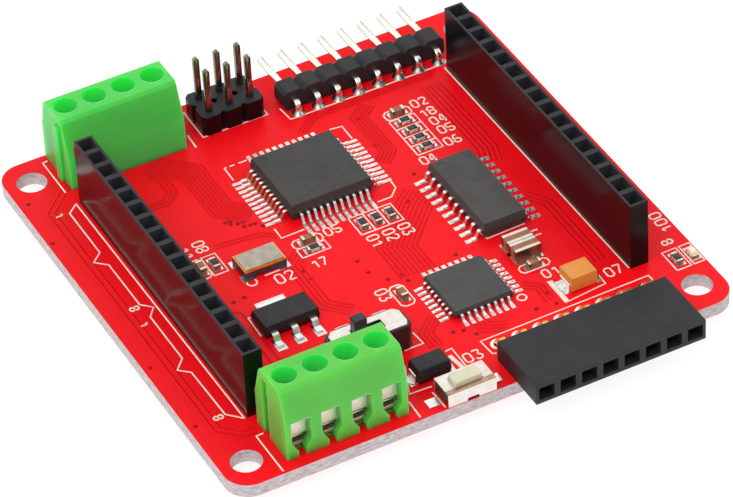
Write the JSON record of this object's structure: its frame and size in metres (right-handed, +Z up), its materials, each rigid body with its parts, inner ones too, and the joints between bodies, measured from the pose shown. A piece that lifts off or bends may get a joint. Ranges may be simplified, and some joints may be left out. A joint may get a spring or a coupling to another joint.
{
  "type": "lamp matrix driver board",
  "caption": "Square red driver board for a lamp matrix, with two tall socket strips, two screw terminals, edge headers, driver chips and switches.",
  "frame": {"origin": "centre of the four-hole mounting pattern, on the underside of the circuit board", "axes": "+X to the right along the front edge, which has the edge socket; +Y to the back edge, which has the edge header; +Z up out of the populated side"},
  "size_m": [0.0596, 0.0657, 0.0117],
  "materials": {
    "board_laminate": "glossy red solder mask on glass-epoxy laminate",
    "header_plastic": "moulded black thermoplastic, satin",
    "contact_metal": "gold-flashed phosphor bronze",
    "pin_metal": "bright plated square pin",
    "terminal_plastic": "moulded green polyamide, semi-gloss",
    "tinned_copper": "tin-plated copper",
    "screw_steel": "zinc-plated steel screw",
    "clamp_metal": "nickel-plated brass clamp",
    "chip_plastic": "moulded black epoxy, matt",
    "crystal_ceramic": "dark ceramic base",
    "crystal_lid_metal": "satin metal lid",
    "tantalum_resin": "orange moulded epoxy",
    "switch_plastic": "black moulded nylon",
    "switch_steel": "bright stamped steel",
    "button_plastic": "cream moulded nylon",
    "resistor_glaze": "black glaze on a ceramic chip",
    "capacitor_ceramic": "brown fired ceramic",
    "led_resin": "clear cream resin",
    "solder": "bright solder",
    "legend_ink": "off-white screen-printed ink"
  },
  "bodies": {
    "board": {"circuit_board": "board_laminate", "left_socket_housing": "header_plastic", "left_socket_contacts": "contact_metal", "right_socket_housing": "header_plastic", "right_socket_contacts": "contact_metal", "rear_terminal_housing": "terminal_plastic", "rear_terminal_tails": "tinned_copper", "front_terminal_housing": "terminal_plastic", "front_terminal_tails": "tinned_copper", "programming_header_housing": "header_plastic", "programming_header_pins": "pin_metal", "edge_header_housing": "header_plastic", "edge_header_pins": "pin_metal", "edge_socket_housing": "header_plastic", "edge_socket_contacts": "contact_metal", "led_driver_body": "chip_plastic", "led_driver_leads": "tinned_copper", "source_driver_body": "chip_plastic", "source_driver_leads": "tinned_copper", "microcontroller_body": "chip_plastic", "microcontroller_leads": "tinned_copper", "regulator_body": "chip_plastic", "regulator_leads": "tinned_copper", "crystal_base": "crystal_ceramic", "crystal_lid": "crystal_lid_metal", "tantalum_body": "tantalum_resin", "tantalum_straps": "tinned_copper", "diode_body": "chip_plastic", "diode_leads": "tinned_copper", "slide_switch_base": "switch_plastic", "slide_switch_cover": "switch_steel", "slide_switch_pins": "tinned_copper", "reset_switch_base": "switch_plastic", "reset_switch_cover": "switch_steel", "reset_switch_terminals": "tinned_copper", "chip_resistors": "resistor_glaze", "chip_capacitors": "capacitor_ceramic", "chip_terminations": "tinned_copper", "status_led": "led_resin", "solder_joints": "solder"},
    "rear_screw_1": {"rear_screw_1": "screw_steel"},
    "rear_clamp_1": {"rear_clamp_1": "clamp_metal"},
    "rear_screw_2": {"rear_screw_2": "screw_steel"},
    "rear_clamp_2": {"rear_clamp_2": "clamp_metal"},
    "rear_screw_3": {"rear_screw_3": "screw_steel"},
    "rear_clamp_3": {"rear_clamp_3": "clamp_metal"},
    "rear_screw_4": {"rear_screw_4": "screw_steel"},
    "rear_clamp_4": {"rear_clamp_4": "clamp_metal"},
    "front_screw_1": {"front_screw_1": "screw_steel"},
    "front_clamp_1": {"front_clamp_1": "clamp_metal"},
    "front_screw_2": {"front_screw_2": "screw_steel"},
    "front_clamp_2": {"front_clamp_2": "clamp_metal"},
    "front_screw_3": {"front_screw_3": "screw_steel"},
    "front_clamp_3": {"front_clamp_3": "clamp_metal"},
    "front_screw_4": {"front_screw_4": "screw_steel"},
    "front_clamp_4": {"front_clamp_4": "clamp_metal"},
    "slide_actuator": {"slide_switch_actuator": "switch_plastic"},
    "reset_button": {"reset_switch_button": "button_plastic"}
  },
  "joints": [
    {"name": "rear_screw_1_turn", "type": "hinge", "parent": "board", "child": "rear_screw_1", "pos_m": [-0.01125, 0.0264, 0.00692], "axis": [0, 0, 1], "range_deg": [-401, 201]},
    {"name": "rear_clamp_1_rise", "type": "slide", "parent": "board", "child": "rear_clamp_1", "axis": [0, 0, 1], "range_m": [-0.00025, 0.0005]},
    {"name": "rear_screw_2_turn", "type": "hinge", "parent": "board", "child": "rear_screw_2", "pos_m": [-0.01475, 0.0264, 0.00692], "axis": [0, 0, 1], "range_deg": [-401, 201]},
    {"name": "rear_clamp_2_rise", "type": "slide", "parent": "board", "child": "rear_clamp_2", "axis": [0, 0, 1], "range_m": [-0.00025, 0.0005]},
    {"name": "rear_screw_3_turn", "type": "hinge", "parent": "board", "child": "rear_screw_3", "pos_m": [-0.01825, 0.0264, 0.00692], "axis": [0, 0, 1], "range_deg": [-401, 201]},
    {"name": "rear_clamp_3_rise", "type": "slide", "parent": "board", "child": "rear_clamp_3", "axis": [0, 0, 1], "range_m": [-0.00025, 0.0005]},
    {"name": "rear_screw_4_turn", "type": "hinge", "parent": "board", "child": "rear_screw_4", "pos_m": [-0.02175, 0.0264, 0.00692], "axis": [0, 0, 1], "range_deg": [-401, 201]},
    {"name": "rear_clamp_4_rise", "type": "slide", "parent": "board", "child": "rear_clamp_4", "axis": [0, 0, 1], "range_m": [-0.00025, 0.0005]},
    {"name": "front_screw_1_turn", "type": "hinge", "parent": "board", "child": "front_screw_1", "pos_m": [-0.02137, -0.0252, 0.00692], "axis": [0, 0, 1], "range_deg": [-401, 201]},
    {"name": "front_clamp_1_rise", "type": "slide", "parent": "board", "child": "front_clamp_1", "axis": [0, 0, 1], "range_m": [-0.00025, 0.0005]},
    {"name": "front_screw_2_turn", "type": "hinge", "parent": "board", "child": "front_screw_2", "pos_m": [-0.01787, -0.0252, 0.00692], "axis": [0, 0, 1], "range_deg": [-401, 201]},
    {"name": "front_clamp_2_rise", "type": "slide", "parent": "board", "child": "front_clamp_2", "axis": [0, 0, 1], "range_m": [-0.00025, 0.0005]},
    {"name": "front_screw_3_turn", "type": "hinge", "parent": "board", "child": "front_screw_3", "pos_m": [-0.01437, -0.0252, 0.00692], "axis": [0, 0, 1], "range_deg": [-401, 201]},
    {"name": "front_clamp_3_rise", "type": "slide", "parent": "board", "child": "front_clamp_3", "axis": [0, 0, 1], "range_m": [-0.00025, 0.0005]},
    {"name": "front_screw_4_turn", "type": "hinge", "parent": "board", "child": "front_screw_4", "pos_m": [-0.01087, -0.0252, 0.00692], "axis": [0, 0, 1], "range_deg": [-401, 201]},
    {"name": "front_clamp_4_rise", "type": "slide", "parent": "board", "child": "front_clamp_4", "axis": [0, 0, 1], "range_m": [-0.00025, 0.0005]},
    {"name": "slide_actuator_travel", "type": "slide", "parent": "board", "child": "slide_actuator", "axis": [1, 0, 0], "range_m": [0, 0.002]},
    {"name": "reset_button_press", "type": "slide", "parent": "board", "child": "reset_button", "axis": [0, 0, -1], "range_m": [0, 0.00025], "stiffness_N_per_m": 4000, "springref_m": -0.0001}
  ],
  "couplings": [
    {"joint": "rear_screw_1_turn", "follows": "rear_clamp_1_rise", "rad_per_m": -13963},
    {"joint": "rear_screw_2_turn", "follows": "rear_clamp_2_rise", "rad_per_m": -13963},
    {"joint": "rear_screw_3_turn", "follows": "rear_clamp_3_rise", "rad_per_m": -13963},
    {"joint": "rear_screw_4_turn", "follows": "rear_clamp_4_rise", "rad_per_m": -13963},
    {"joint": "front_screw_1_turn", "follows": "front_clamp_1_rise", "rad_per_m": -13963},
    {"joint": "front_screw_2_turn", "follows": "front_clamp_2_rise", "rad_per_m": -13963},
    {"joint": "front_screw_3_turn", "follows": "front_clamp_3_rise", "rad_per_m": -13963},
    {"joint": "front_screw_4_turn", "follows": "front_clamp_4_rise", "rad_per_m": -13963}
  ]
}
